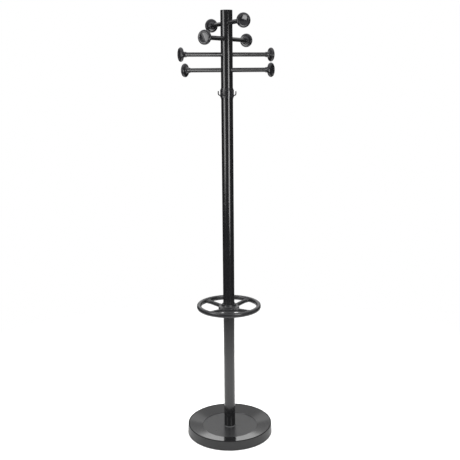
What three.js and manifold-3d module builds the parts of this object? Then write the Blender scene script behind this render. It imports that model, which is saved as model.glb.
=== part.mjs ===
// Standing coat rack: a sectional tubular post on a weighted round base, four through
// rods with round knobs at the top, a collar with four small hooks, and an umbrella ring.
//
// Millimetres, +Z up. The origin is on the floor, on the axis of the post, and +X runs
// along the lowest of the four rods.

import * as THREE from 'three';
import { mergeVertices } from 'three/addons/utils/BufferGeometryUtils.js';
import Module from 'manifold-3d';

const wasm = await Module();
wasm.setup();

// ---------------------------------------------------------------- driving dimensions

const GAP = 0.3;                      // clearance between two pieces that touch

// Post: four lengths of tube joined at three places.
const TOTAL_HEIGHT = 1872;
const POST_R = 25;
const POST_WALL = 1.5;
const TUBE_EDGE = 0.6;                // rounded-over edge at each tube end
const RING_JOINT_Z = 602;
const SECTION_PITCH = 466.5;
const MIDDLE_JOINT_Z = RING_JOINT_Z + SECTION_PITCH;
const COLLAR_JOINT_Z = RING_JOINT_Z + 2 * SECTION_PITCH;
const CAP_THICKNESS = 3;
const CAP_SPIGOT = 15;
const CAP_SPIGOT_WALL = 3;

// Threaded inserts in the tube ends, and the studs that draw the joints together.
const INSERT_LENGTH = 22;
const STUD_R = 5;
const STUD_BORE_R = STUD_R + GAP;
const STUD_REACH = 19;                // how far a stud goes into each insert

// Peg rods and knobs.
const ROD_COUNT = 4;
const ROD_R = 9;
const ROD_BORE_R = 5;
const ROD_HALF_LENGTH = 180;
const TOP_ROD_Z = 1820;
const ROD_PITCH = 63;
const ROD_TURN = THREE.MathUtils.degToRad(-45);
const KNOB_R = 29;
const KNOB_NECK_R = 11;
const KNOB_NECK_LENGTH = 4;           // straight part of the neck
const KNOB_FLARE_BEND = 9;            // how far the neck runs on before it flares
const KNOB_FLARE_R = 14;              // radius that the flare passes through
const KNOB_START = 174.5;             // distances from the axis of the post
const KNOB_MAX = 198.4;
const KNOB_FRONT = 206;
const KNOB_EDGE_R = 7.6;
const KNOB_DISH_R = 20;
const KNOB_DISH_DEPTH = 3.2;
const KNOB_STUD_R = 4.7;
const KNOB_STUD_INNER = 168;
const KNOB_STUD_OUTER = 192;

// Hook collar and its small hooks.
const COLLAR_R = 27;
const COLLAR_HALF_HEIGHT = 22;
const COLLAR_BARREL_HALF = 11;
const COLLAR_LIP = 0.8;
const COLLAR_WEB = 22;
const HOOK_COUNT = 4;
const HOOK_R = 2.5;
const HOOK_TIP_RADIUS = 41;
const HOOK_ARM_Z = -8;                // below the middle of the collar
const HOOK_TIP_Z = 10;
const HOOK_BEND = 8;
const HOOK_PLATE_THICKNESS = 2;
const HOOK_PLATE_HALF_WIDTH = 8.5;
const HOOK_PLATE_HEIGHT = 33;
const HOOK_PEG_R = 2.5;
const HOOK_PEG_DEPTH = 10;
const HOOK_STEPS = 10;                // sections along the hook's arm

// Umbrella ring: rim, four spokes and hub in one moulding.
const RING_R = 142;
const RIM_WIDTH = 18;
const RIM_HEIGHT = 21;
const RIM_CORNER = 6.5;
const HUB_R = 46.5;                   // flange that carries the spokes
const HUB_CORNER = 4;
const HUB_BOTTOM = -18.5;             // heights from the joint that the hub covers
const HUB_FLANGE_TOP = 1;
const HUB_BOSS_TOP = 12.5;
const HUB_BOSS_R = 30.5;
const HUB_FILLET = 8;                 // between the boss and the flange
const HUB_WEB = 8;
const SPOKE_COUNT = 4;
const SPOKE_WIDTH = 15;
const SPOKE_HEIGHT = 17;
const SPOKE_HUB_WIDTH = 24;           // flared width where it meets the flange
const SPOKE_RIM_WIDTH = 40;           // flared width where it meets the rim
const SPOKE_FLARE = 20;               // length of each flare
const SPOKE_OVERLAP = 2;              // how far a flare's end runs into the hub or rim
const SPOKE_EDGE = 2;
const SPOKE_HUB_HEIGHT = -9.25;       // middle of the spoke, from the joint
const SPOKE_RIM_HEIGHT = -2;
const SPOKE_START_ANGLE = THREE.MathUtils.degToRad(-15.7);

// Base: cover, drip tray, ballast, bottom plate and rubber feet.
const BASE_R = 192;
const COVER_BOTTOM_Z = 1.2;
const COVER_WALL = 3;
const RIM_TOP_Z = 45;
const RIM_TOP_R = 188.9;
const RIM_ROUND = 1.7;
const TRAY_EDGE_R = RIM_TOP_R - RIM_ROUND - GAP;
const TRAY_EDGE_Z = 44.4;
const TRAY_SLOPE_R = 124;             // foot of the long slope, above a small step
const TRAY_SLOPE_Z = 31;
const TRAY_FLOOR_R = 122.6;
const TRAY_FLOOR_Z = 29.2;
const TRAY_INNER_R = 60;
const TRAY_INNER_Z = 28.2;
const TRAY_CENTRE_Z = 27.8;
const TRAY_THICKNESS = 2.4;
const DECK_THICKNESS = 2.5;
const COVER_BORE_R = 6.5;
const COVER_BOSS_R = 20;
const FOOT_COLLAR_R = 27.8;
const FOOT_COLLAR_TOP_Z = 31.5;
const FOOT_COLLAR_BEVEL = 2;
const PLATE_R = 186;
const PLATE_Z = 4.3;
const PLATE_THICKNESS = 1.2;
const PLATE_RAISE = 8;                // the middle is pressed up to make room for the bolt
const PLATE_RAISED_R = 30;
const PLATE_SLOPE_R = 38;
const WEIGHT_INNER_R = 45;
const WEIGHT_R = 150;
const WEIGHT_THICKNESS = 10;
const PAD_COUNT = 6;
const PAD_R = 10;
const PAD_HEIGHT = 4;
const PAD_CIRCLE_R = 165;
const WASHER_R = 12;
const WASHER_THICKNESS = 1.6;
const BOLT_HEAD_R = 9.8;
const BOLT_HEAD_HEIGHT = 6.2;
const BOLT_OVERLAP = 1;               // how far the shank starts inside the head
const BOLT_END_Z = 45;

// Facets around each kind of round piece.
const BASE_FACETS = 40;
const POST_FACETS = 24;
const KNOB_FACETS = 16;
const SMALL_FACETS = 16;              // rods, inserts, holes, washer and pads
const PEG_FACETS = 12;                // studs and the pegs of the hooks
const CORNER_STEPS = 2;               // steps in a rounded corner
const RIM_ROUND_STEPS = 4;            // steps in a half round or a knob's rim

// ------------------------------------------------------------------------- materials

function material(colour, roughness, metalness) {
  return new THREE.MeshStandardMaterial({ color: colour, roughness, metalness });
}

const finishes = {
  postPaint: () => material(0x16171a, 0.25, 0.4),
  glossPlastic: () => material(0x141416, 0.22, 0.0),
  satinPlastic: () => material(0x242527, 0.45, 0.0),
  coverPlastic: () => material(0x3c3d3f, 0.5, 0.0),
  trayPlastic: () => material(0x2a2b2d, 0.2, 0.0),
  insertNylon: () => material(0x55565a, 0.6, 0.0),
  steel: () => material(0x9a9da0, 0.35, 1.0),
  platePaint: () => material(0x2c2d2f, 0.5, 0.5),
  castIron: () => material(0x4a4a4c, 0.8, 0.8),
  rubber: () => material(0x1b1b1b, 0.9, 0.0),
};

// --------------------------------------------------------------------------- helpers

function point(radius, height) {
  return new THREE.Vector2(radius, height);
}

// Turns an outline of (radius, height) points about +Z. The outline runs anticlockwise:
// out along the bottom, up the outside and in along the top.
function turned(points, facets) {
  return new THREE.LatheGeometry(points, facets).rotateX(Math.PI / 2);
}

// The same for an outline that closes on itself, which makes a ring.
function turnedRing(points, facets) {
  return turned([...points, points[0].clone()], facets);
}

function ring(innerRadius, outerRadius, bottom, top, facets) {
  return turnedRing([
    point(innerRadius, bottom),
    point(outerRadius, bottom),
    point(outerRadius, top),
    point(innerRadius, top),
  ], facets);
}

// A solid cylinder along +Z.
function rod(radius, bottom, top, facets) {
  const geometry = new THREE.CylinderGeometry(radius, radius, top - bottom, facets);
  return geometry.rotateX(Math.PI / 2).translate(0, 0, (bottom + top) / 2);
}

// Points of an arc about a centre, from one angle to another.
function arcPoints(centreRadius, centreHeight, radius, startDegrees, endDegrees, steps) {
  const points = [];
  for (let i = 0; i <= steps; i += 1) {
    const degrees = startDegrees + (endDegrees - startDegrees) * i / steps;
    const angle = THREE.MathUtils.degToRad(degrees);
    points.push(point(
      centreRadius + radius * Math.cos(angle),
      centreHeight + radius * Math.sin(angle),
    ));
  }
  return points;
}

function toSolid(geometry) {
  const bare = geometry.clone();
  bare.deleteAttribute('normal');
  bare.deleteAttribute('uv');
  const merged = mergeVertices(bare, 1e-4);
  return new wasm.Manifold(new wasm.Mesh({
    numProp: 3,
    vertProperties: merged.attributes.position.array,
    triVerts: merged.index.array,
  }));
}

function toGeometry(solid) {
  const mesh = solid.getMesh();
  const geometry = new THREE.BufferGeometry();
  const positions = new Float32Array(mesh.vertProperties);
  geometry.setAttribute('position', new THREE.BufferAttribute(positions, 3));
  geometry.setIndex(new THREE.BufferAttribute(new Uint32Array(mesh.triVerts), 1));
  geometry.computeVertexNormals();
  return geometry;
}

function joined(geometries) {
  return toGeometry(geometries.map(toSolid).reduce((whole, piece) => whole.add(piece)));
}

function cut(geometry, cutters) {
  return toGeometry(cutters.map(toSolid).reduce(
    (rest, cutter) => rest.subtract(cutter),
    toSolid(geometry),
  ));
}

function named(name, geometry, finish) {
  const mesh = new THREE.Mesh(geometry, finish());
  mesh.name = name;
  return mesh;
}

// ------------------------------------------------------------------------------ post

function tubeGeometry(bottom, top) {
  const inner = POST_R - POST_WALL;
  return turnedRing([
    point(inner, bottom),
    point(POST_R - TUBE_EDGE, bottom),
    point(POST_R, bottom + TUBE_EDGE),
    point(POST_R, top - TUBE_EDGE),
    point(POST_R - TUBE_EDGE, top),
    point(inner, top),
  ], POST_FACETS);
}

const deckCentreZ = TRAY_CENTRE_Z - TRAY_THICKNESS - GAP;

const tubeEnds = {
  foot_tube: [deckCentreZ + GAP, RING_JOINT_Z - HUB_WEB / 2 - GAP],
  lower_tube: [RING_JOINT_Z + HUB_WEB / 2 + GAP, MIDDLE_JOINT_Z - GAP / 2],
  upper_tube: [MIDDLE_JOINT_Z + GAP / 2, COLLAR_JOINT_Z - COLLAR_WEB / 2 - GAP],
  head_tube: [COLLAR_JOINT_Z + COLLAR_WEB / 2 + GAP, TOTAL_HEIGHT - CAP_THICKNESS - GAP],
};

function rodHeight(index) {
  return TOP_ROD_Z - index * ROD_PITCH;
}

function rodAngle(index) {
  return (index + 1) * ROD_TURN;
}

function headTubeGeometry() {
  const holes = [];
  for (let i = 0; i < ROD_COUNT; i += 1) {
    const hole = rod(ROD_R + GAP, -2 * POST_R, 2 * POST_R, SMALL_FACETS);
    hole.rotateY(Math.PI / 2).rotateZ(rodAngle(i)).translate(0, 0, rodHeight(i));
    holes.push(hole);
  }
  return cut(tubeGeometry(...tubeEnds.head_tube), holes);
}

function capGeometry() {
  const underside = TOTAL_HEIGHT - CAP_THICKNESS;
  const spigotR = POST_R - POST_WALL - GAP;
  return turned([
    point(0, underside),
    point(spigotR - CAP_SPIGOT_WALL, underside),
    point(spigotR - CAP_SPIGOT_WALL, underside - CAP_SPIGOT),
    point(spigotR, underside - CAP_SPIGOT),
    point(spigotR, underside),
    point(POST_R, underside),
    point(POST_R, TOTAL_HEIGHT - TUBE_EDGE),
    point(POST_R - TUBE_EDGE, TOTAL_HEIGHT),
    point(0, TOTAL_HEIGHT),
  ], POST_FACETS);
}

function insertGeometry(bottom) {
  const radius = POST_R - POST_WALL - GAP;
  return ring(STUD_BORE_R, radius, bottom, bottom + INSERT_LENGTH, SMALL_FACETS);
}

function postGroup() {
  const group = new THREE.Group();
  for (const name of ['foot_tube', 'lower_tube', 'upper_tube']) {
    group.add(named(name, tubeGeometry(...tubeEnds[name]), finishes.postPaint));
  }
  group.add(named('head_tube', headTubeGeometry(), finishes.postPaint));
  group.add(named('post_cap', capGeometry(), finishes.glossPlastic));
  return group;
}

// One joint: an insert in the tube below, one in the tube above, and the stud between.
function jointGroup(name, lowerTube, upperTube) {
  const group = new THREE.Group();
  const lowerTop = tubeEnds[lowerTube][1];
  const upperBottom = tubeEnds[upperTube][0];
  const lowerInsert = insertGeometry(lowerTop - INSERT_LENGTH);
  const upperInsert = insertGeometry(upperBottom);
  const stud = rod(STUD_R, lowerTop - STUD_REACH, upperBottom + STUD_REACH, PEG_FACETS);
  group.add(named(`${name}_insert_lower`, lowerInsert, finishes.insertNylon));
  group.add(named(`${name}_insert_upper`, upperInsert, finishes.insertNylon));
  group.add(named(`${name}_stud`, stud, finishes.steel));
  return group;
}

// -------------------------------------------------------------------- pegs and knobs

function pegRodGeometry() {
  return ring(ROD_BORE_R, ROD_R, -ROD_HALF_LENGTH, ROD_HALF_LENGTH, SMALL_FACETS);
}

// A mushroom-shaped knob: a neck that takes the end of the rod flares into a thick
// round disc with a rounded rim and a shallow dish in its front.
function knobGeometry() {
  const seat = ROD_HALF_LENGTH + GAP;
  const holeEnd = KNOB_STUD_OUTER + GAP;
  const socketR = ROD_R + GAP;
  const rimCentreR = KNOB_R - KNOB_EDGE_R;
  const neckEnd = KNOB_START + KNOB_NECK_LENGTH;
  const backZ = KNOB_MAX - KNOB_EDGE_R;
  const flare = new THREE.CubicBezierCurve(
    point(KNOB_NECK_R, neckEnd),
    point(KNOB_NECK_R, neckEnd + KNOB_FLARE_BEND),
    point(KNOB_FLARE_R, backZ),
    point(rimCentreR - 1, backZ),
  );
  return turned([
    point(0, holeEnd),
    point(ROD_BORE_R, holeEnd),
    point(ROD_BORE_R, seat),
    point(socketR, seat),
    point(socketR, KNOB_START),
    point(KNOB_NECK_R, KNOB_START),
    ...flare.getPoints(CORNER_STEPS),
    ...arcPoints(rimCentreR, KNOB_MAX, KNOB_EDGE_R, -60, 90, RIM_ROUND_STEPS),
    point(KNOB_DISH_R - 1, KNOB_FRONT - 1),
    point(KNOB_DISH_R / 2, KNOB_FRONT - 0.8 * KNOB_DISH_DEPTH),
    point(0, KNOB_FRONT - KNOB_DISH_DEPTH),
  ], KNOB_FACETS);
}

// A rod with a knob and its threaded stud at each end. Pieces are turned about +Z, so
// a quarter turn about Y lays them along +X, and the opposite turn along -X.
function pegGroup(index) {
  const number = index + 1;
  const group = new THREE.Group();
  group.position.z = rodHeight(index);
  group.rotation.z = rodAngle(index);
  const pegRod = named(`peg_rod_${number}`, pegRodGeometry(), finishes.postPaint);
  pegRod.rotation.y = Math.PI / 2;
  group.add(pegRod);
  for (const [letter, side] of [['a', 1], ['b', -1]]) {
    const knob = named(`knob_${number}${letter}`, knobGeometry(), finishes.glossPlastic);
    const studGeometry = rod(KNOB_STUD_R, KNOB_STUD_INNER, KNOB_STUD_OUTER, PEG_FACETS);
    const stud = named(`knob_stud_${number}${letter}`, studGeometry, finishes.steel);
    knob.rotation.y = side * Math.PI / 2;
    stud.rotation.y = side * Math.PI / 2;
    group.add(knob, stud);
  }
  return group;
}

// ------------------------------------------------------------- collar and small hooks

// A barrel-shaped sleeve over the joint, with a thick web inside that both tubes stand
// against. Four blind holes in the web take the pegs of the small hooks.
function collarGeometry() {
  const socketR = POST_R + GAP;
  const lipR = socketR + COLLAR_LIP;
  const sleeve = turnedRing([
    point(socketR, -COLLAR_HALF_HEIGHT),
    point(lipR, -COLLAR_HALF_HEIGHT),
    point(COLLAR_R, -COLLAR_BARREL_HALF),
    point(COLLAR_R, COLLAR_BARREL_HALF),
    point(lipR, COLLAR_HALF_HEIGHT),
    point(socketR, COLLAR_HALF_HEIGHT),
    point(socketR, COLLAR_WEB / 2),
    point(STUD_BORE_R, COLLAR_WEB / 2),
    point(STUD_BORE_R, -COLLAR_WEB / 2),
    point(socketR, -COLLAR_WEB / 2),
  ], POST_FACETS);
  const holes = [];
  for (let i = 0; i < HOOK_COUNT; i += 1) {
    const inner = COLLAR_R - HOOK_PEG_DEPTH - GAP;
    const hole = rod(HOOK_PEG_R + GAP, inner, 2 * COLLAR_R, PEG_FACETS);
    holes.push(hole.rotateY(Math.PI / 2).rotateZ(i * 2 * Math.PI / HOOK_COUNT));
  }
  return cut(sleeve, holes);
}

// The back plate follows the collar's round outside.
function hookPlateGeometry() {
  const innerR = COLLAR_R + GAP;
  const outerR = innerR + HOOK_PLATE_THICKNESS;
  const halfAngle = Math.asin(HOOK_PLATE_HALF_WIDTH / innerR);
  const outline = new THREE.Shape();
  outline.absarc(0, 0, outerR, -halfAngle, halfAngle, false);
  outline.absarc(0, 0, innerR, halfAngle, -halfAngle, true);
  outline.closePath();
  const plate = new THREE.ExtrudeGeometry(outline, {
    depth: HOOK_PLATE_HEIGHT,
    bevelEnabled: false,
    curveSegments: 3,
  });
  return plate.translate(0, 0, -HOOK_PLATE_HEIGHT / 2);
}

// The hook's round arm goes straight out, bends up and ends in a short tip.
function hookArmGeometry() {
  const start = COLLAR_R + GAP + HOOK_PLATE_THICKNESS / 2;
  const place = (x, z) => new THREE.Vector3(x, 0, z);
  const path = new THREE.CurvePath();
  path.add(new THREE.LineCurve3(
    place(start, HOOK_ARM_Z),
    place(HOOK_TIP_RADIUS - HOOK_BEND, HOOK_ARM_Z),
  ));
  path.add(new THREE.QuadraticBezierCurve3(
    place(HOOK_TIP_RADIUS - HOOK_BEND, HOOK_ARM_Z),
    place(HOOK_TIP_RADIUS, HOOK_ARM_Z),
    place(HOOK_TIP_RADIUS, HOOK_ARM_Z + HOOK_BEND),
  ));
  path.add(new THREE.LineCurve3(
    place(HOOK_TIP_RADIUS, HOOK_ARM_Z + HOOK_BEND),
    place(HOOK_TIP_RADIUS, HOOK_TIP_Z),
  ));
  const section = new THREE.Shape();
  section.absarc(0, 0, HOOK_R, 0, 2 * Math.PI, false);
  return new THREE.ExtrudeGeometry(section, {
    extrudePath: path,
    steps: HOOK_STEPS,
    curveSegments: 4,
    bevelEnabled: false,
  });
}

function smallHookGeometry() {
  const pegEnd = COLLAR_R + GAP + HOOK_PLATE_THICKNESS / 2;
  const peg = rod(HOOK_PEG_R, COLLAR_R - HOOK_PEG_DEPTH, pegEnd, PEG_FACETS);
  peg.rotateY(Math.PI / 2);
  return joined([hookPlateGeometry(), hookArmGeometry(), peg]);
}

function collarGroup() {
  const group = new THREE.Group();
  group.position.z = COLLAR_JOINT_Z;
  group.add(named('hook_collar', collarGeometry(), finishes.glossPlastic));
  for (let i = 0; i < HOOK_COUNT; i += 1) {
    const hook = named(`small_hook_${i + 1}`, smallHookGeometry(), finishes.satinPlastic);
    hook.rotation.z = i * 2 * Math.PI / HOOK_COUNT;
    group.add(hook);
  }
  return group;
}

// --------------------------------------------------------------------- umbrella ring

function rimGeometry() {
  const innerR = RING_R - RIM_WIDTH + RIM_CORNER;
  const outerR = RING_R - RIM_CORNER;
  const high = RIM_HEIGHT / 2 - RIM_CORNER;
  return turnedRing([
    ...arcPoints(innerR, -high, RIM_CORNER, 180, 270, CORNER_STEPS),
    ...arcPoints(outerR, -high, RIM_CORNER, 270, 360, CORNER_STEPS),
    ...arcPoints(outerR, high, RIM_CORNER, 0, 90, CORNER_STEPS),
    ...arcPoints(innerR, high, RIM_CORNER, 90, 180, CORNER_STEPS),
  ], BASE_FACETS);
}

// The hub is a sleeve over the joint with a web that both tubes stand against. Its lower
// half spreads into the flange that the spokes grow from.
function hubGeometry() {
  const socketR = POST_R + GAP;
  const cornerR = HUB_R - HUB_CORNER;
  const filletR = HUB_BOSS_R + HUB_FILLET;
  const filletZ = HUB_FLANGE_TOP + HUB_FILLET;
  return turnedRing([
    point(socketR, HUB_BOTTOM),
    ...arcPoints(cornerR, HUB_BOTTOM + HUB_CORNER, HUB_CORNER, -90, 0, CORNER_STEPS),
    ...arcPoints(cornerR, HUB_FLANGE_TOP - HUB_CORNER, HUB_CORNER, 0, 90, CORNER_STEPS),
    ...arcPoints(filletR, filletZ, HUB_FILLET, 270, 180, CORNER_STEPS),
    point(HUB_BOSS_R, HUB_BOSS_TOP - TUBE_EDGE),
    point(HUB_BOSS_R - TUBE_EDGE, HUB_BOSS_TOP),
    point(socketR, HUB_BOSS_TOP),
    point(socketR, HUB_WEB / 2),
    point(STUD_BORE_R, HUB_WEB / 2),
    point(STUD_BORE_R, -HUB_WEB / 2),
    point(socketR, -HUB_WEB / 2),
  ], POST_FACETS);
}

// A straight bar that flares where it meets the hub and the rim, sloping up outwards.
function spokeGeometry() {
  const start = POST_R + GAP + SPOKE_EDGE;
  const hubEnd = HUB_R - SPOKE_OVERLAP;
  const rimEnd = RING_R - RIM_WIDTH + SPOKE_OVERLAP;
  const end = RING_R - RIM_WIDTH / 2;
  const half = SPOKE_WIDTH / 2;
  const hubHalf = SPOKE_HUB_WIDTH / 2;
  const rimHalf = SPOKE_RIM_WIDTH / 2;
  const bend = SPOKE_FLARE / 4;
  const outline = new THREE.Shape();
  outline.moveTo(start, -hubHalf);
  outline.lineTo(hubEnd, -hubHalf);
  outline.quadraticCurveTo(hubEnd + bend, -half, hubEnd + SPOKE_FLARE, -half);
  outline.lineTo(rimEnd - SPOKE_FLARE, -half);
  outline.quadraticCurveTo(rimEnd - bend, -half, rimEnd, -rimHalf);
  outline.lineTo(end, -rimHalf);
  outline.lineTo(end, rimHalf);
  outline.lineTo(rimEnd, rimHalf);
  outline.quadraticCurveTo(rimEnd - bend, half, rimEnd - SPOKE_FLARE, half);
  outline.lineTo(hubEnd + SPOKE_FLARE, half);
  outline.quadraticCurveTo(hubEnd + bend, half, hubEnd, hubHalf);
  outline.lineTo(start, hubHalf);
  outline.closePath();
  const bar = new THREE.ExtrudeGeometry(outline, {
    depth: SPOKE_HEIGHT - 2 * SPOKE_EDGE,
    bevelThickness: SPOKE_EDGE,
    bevelSize: SPOKE_EDGE,
    bevelOffset: -SPOKE_EDGE,
    bevelSegments: 1,
    curveSegments: 3,
  });
  const slope = Math.atan2(SPOKE_RIM_HEIGHT - SPOKE_HUB_HEIGHT, end - HUB_R);
  bar.translate(-HUB_R, 0, SPOKE_EDGE - SPOKE_HEIGHT / 2);
  return bar.rotateY(-slope).translate(HUB_R, 0, SPOKE_HUB_HEIGHT);
}

function umbrellaRingGeometry() {
  const pieces = [rimGeometry(), hubGeometry()];
  for (let i = 0; i < SPOKE_COUNT; i += 1) {
    const angle = SPOKE_START_ANGLE + i * 2 * Math.PI / SPOKE_COUNT;
    pieces.push(spokeGeometry().rotateZ(angle));
  }
  return joined(pieces);
}

function umbrellaRing() {
  const mesh = named('umbrella_ring', umbrellaRingGeometry(), finishes.satinPlastic);
  mesh.position.z = RING_JOINT_Z;
  return mesh;
}

// ------------------------------------------------------------------------------ base

// The dish line runs from the rim down to the post, lowered by a given drop.
function dishLine(innerRadius, drop) {
  return [
    point(TRAY_EDGE_R, TRAY_EDGE_Z - drop),
    point(TRAY_SLOPE_R, TRAY_SLOPE_Z - drop),
    point(TRAY_FLOOR_R, TRAY_FLOOR_Z - drop),
    point(TRAY_INNER_R, TRAY_INNER_Z - drop),
    point(innerRadius, TRAY_CENTRE_Z - drop),
  ];
}

function trayGeometry() {
  const innerRadius = POST_R + 2 * GAP;
  const top = dishLine(innerRadius, 0);
  const bottom = dishLine(innerRadius, TRAY_THICKNESS).reverse();
  return turnedRing([...top, ...bottom], BASE_FACETS);
}

// The cover: outer wall with a rolled rim, a sloping deck under the tray, and a boss
// in the middle that the bolt draws the bottom plate against.
function coverGeometry() {
  const deckTop = TRAY_THICKNESS + GAP;
  const top = dishLine(COVER_BORE_R, deckTop);
  const bottom = dishLine(COVER_BOSS_R, deckTop + DECK_THICKNESS).reverse();
  const bossBottom = PLATE_Z + PLATE_RAISE + PLATE_THICKNESS + GAP;
  const lipR = RIM_TOP_R - RIM_ROUND;
  return turnedRing([
    point(BASE_R - COVER_WALL, COVER_BOTTOM_Z),
    point(BASE_R - TUBE_EDGE, COVER_BOTTOM_Z),
    point(BASE_R, COVER_BOTTOM_Z + TUBE_EDGE),
    ...arcPoints(RIM_TOP_R, RIM_TOP_Z - RIM_ROUND, RIM_ROUND, 0, 180, RIM_ROUND_STEPS),
    point(lipR, top[0].y),
    ...top.slice(1),
    point(COVER_BORE_R, bossBottom),
    point(COVER_BOSS_R, bossBottom),
    ...bottom,
  ], BASE_FACETS);
}

// A ring round the foot of the post, bevelled down from the post to its own wall.
function footCollarGeometry() {
  return turnedRing([
    point(POST_R + GAP, TRAY_CENTRE_Z + GAP),
    point(FOOT_COLLAR_R, TRAY_CENTRE_Z + GAP),
    point(FOOT_COLLAR_R, FOOT_COLLAR_TOP_Z - FOOT_COLLAR_BEVEL),
    point(FOOT_COLLAR_R - FOOT_COLLAR_BEVEL, FOOT_COLLAR_TOP_Z),
    point(POST_R + GAP, FOOT_COLLAR_TOP_Z),
  ], POST_FACETS);
}

function bottomPlateGeometry() {
  const raised = PLATE_Z + PLATE_RAISE;
  const lift = PLATE_THICKNESS;
  return turnedRing([
    point(COVER_BORE_R, raised),
    point(PLATE_RAISED_R, raised),
    point(PLATE_SLOPE_R, PLATE_Z),
    point(PLATE_R, PLATE_Z),
    point(PLATE_R, PLATE_Z + lift),
    point(PLATE_SLOPE_R + lift / 2, PLATE_Z + lift),
    point(PLATE_RAISED_R + lift / 2, raised + lift),
    point(COVER_BORE_R, raised + lift),
  ], BASE_FACETS);
}

function boltGeometry(headTop) {
  const headBottom = headTop - BOLT_HEAD_HEIGHT;
  const head = rod(BOLT_HEAD_R, headBottom, headTop, 6);
  const shank = rod(STUD_R, headTop - BOLT_OVERLAP, BOLT_END_Z, SMALL_FACETS);
  return joined([head, shank]);
}

function baseGroup() {
  const group = new THREE.Group();
  const weightZ = PLATE_Z + PLATE_THICKNESS + GAP;
  const washerTop = PLATE_Z + PLATE_RAISE - GAP;
  const washerZ = washerTop - WASHER_THICKNESS;
  const weight = ring(
    WEIGHT_INNER_R, WEIGHT_R, weightZ, weightZ + WEIGHT_THICKNESS, POST_FACETS,
  );
  const washer = ring(STUD_BORE_R, WASHER_R, washerZ, washerTop, SMALL_FACETS);
  const bolt = boltGeometry(washerZ - GAP);
  const footInsert = insertGeometry(tubeEnds.foot_tube[0]);
  group.add(named('base_cover', coverGeometry(), finishes.coverPlastic));
  group.add(named('drip_tray', trayGeometry(), finishes.trayPlastic));
  group.add(named('foot_collar', footCollarGeometry(), finishes.satinPlastic));
  group.add(named('base_weight', weight, finishes.castIron));
  group.add(named('bottom_plate', bottomPlateGeometry(), finishes.platePaint));
  group.add(named('base_washer', washer, finishes.steel));
  group.add(named('base_bolt', bolt, finishes.steel));
  group.add(named('foot_insert', footInsert, finishes.insertNylon));
  for (let i = 0; i < PAD_COUNT; i += 1) {
    const angle = i * 2 * Math.PI / PAD_COUNT;
    const pad = named(`rubber_foot_${i + 1}`, rod(PAD_R, 0, PAD_HEIGHT, SMALL_FACETS),
      finishes.rubber);
    pad.position.set(PAD_CIRCLE_R * Math.cos(angle), PAD_CIRCLE_R * Math.sin(angle), 0);
    group.add(pad);
  }
  return group;
}

// -------------------------------------------------------------------------- assembly

const coatRack = new THREE.Group();
coatRack.add(baseGroup());
coatRack.add(postGroup());
coatRack.add(jointGroup('ring_joint', 'foot_tube', 'lower_tube'));
coatRack.add(jointGroup('middle_joint', 'lower_tube', 'upper_tube'));
coatRack.add(jointGroup('collar_joint', 'upper_tube', 'head_tube'));
coatRack.add(umbrellaRing());
coatRack.add(collarGroup());
for (let i = 0; i < ROD_COUNT; i += 1) {
  coatRack.add(pegGroup(i));
}

export default coatRack;
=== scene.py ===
"""Standing coat rack: fine meshes, materials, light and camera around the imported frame.

Metres, +Z up, origin on the floor on the axis of the post, +X along the lowest peg rod.
Outlines are written in millimetres and turned into metres by MM.
"""

import math

import bmesh
import bpy
from mathutils import Matrix, Vector


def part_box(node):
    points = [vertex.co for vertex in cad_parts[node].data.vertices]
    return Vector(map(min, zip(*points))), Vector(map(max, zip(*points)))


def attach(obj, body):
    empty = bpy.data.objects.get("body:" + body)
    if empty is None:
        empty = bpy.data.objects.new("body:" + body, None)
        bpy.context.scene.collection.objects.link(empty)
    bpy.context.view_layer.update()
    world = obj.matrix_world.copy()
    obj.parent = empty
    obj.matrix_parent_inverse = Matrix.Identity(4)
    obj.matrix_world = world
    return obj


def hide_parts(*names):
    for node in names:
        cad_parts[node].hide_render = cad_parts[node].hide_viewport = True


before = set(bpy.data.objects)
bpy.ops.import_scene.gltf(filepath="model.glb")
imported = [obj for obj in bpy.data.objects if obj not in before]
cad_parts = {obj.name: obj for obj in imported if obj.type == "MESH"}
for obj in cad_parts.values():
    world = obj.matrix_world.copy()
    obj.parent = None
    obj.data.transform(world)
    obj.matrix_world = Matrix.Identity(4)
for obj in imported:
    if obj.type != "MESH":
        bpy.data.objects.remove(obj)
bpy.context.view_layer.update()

MM = 0.001
MICRON = 0.000001
ROUND_STEPS = 96          # steps round a post-sized piece
BASE_STEPS = 192          # steps round the base
INSERT_STEPS = 64         # steps round an insert or the washer
ROD_STEPS = 48            # steps round a rod or a rubber foot
CORNER_STEPS = 6          # steps in a rounded corner
SHARP_DEGREES = 40
SUPPORT = 1.5             # millimetres from a corner to the row that supports it

# Driving dimensions, in millimetres, as in the CAD model.
GAP = 0.3
POST_R = 25
TUBE_INNER_R = 23.5
TUBE_ROUND = 0.6
STUD_R = 5
STUD_BORE_R = 5.3
BOLT_HOLE_R = 6.5
ROD_R = 9
ROD_BORE_R = 5
ROD_HALF = 180            # half of a rod's length
KNOB_R = 29
KNOB_NECK_R = 11
KNOB_START = 174.5
KNOB_MAX = 198.4
KNOB_FRONT = 206
KNOB_EDGE_R = 7.6
KNOB_DISH_R = 20
KNOB_DISH_DEPTH = 3.2
KNOB_STUD_R = 4.7
KNOB_STUD_START = 168     # distances along the rod from the axis of the post
KNOB_STUD_END = 192
THREAD_PITCH = 1.5
THREAD_DEPTH = 0.7
RIM_TOP_Z = 45            # top of the base
TRAY_SLOPE_R = 124        # where the slope of the drip tray meets its floor

CAMERA_AZIMUTH = 25.6     # degrees round from -Y, towards +X
CAMERA_DISTANCE = 3.181
CAMERA_HEIGHT = 1.634
CAMERA_PITCH = 12.16      # degrees below the horizon
CAMERA_YAW = 0.14         # degrees to the right
CAMERA_ROLL = 0.462       # degrees, anticlockwise as the picture is seen
CAMERA_LENS = 58.37
CAMERA_SENSOR = 36.0

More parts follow.
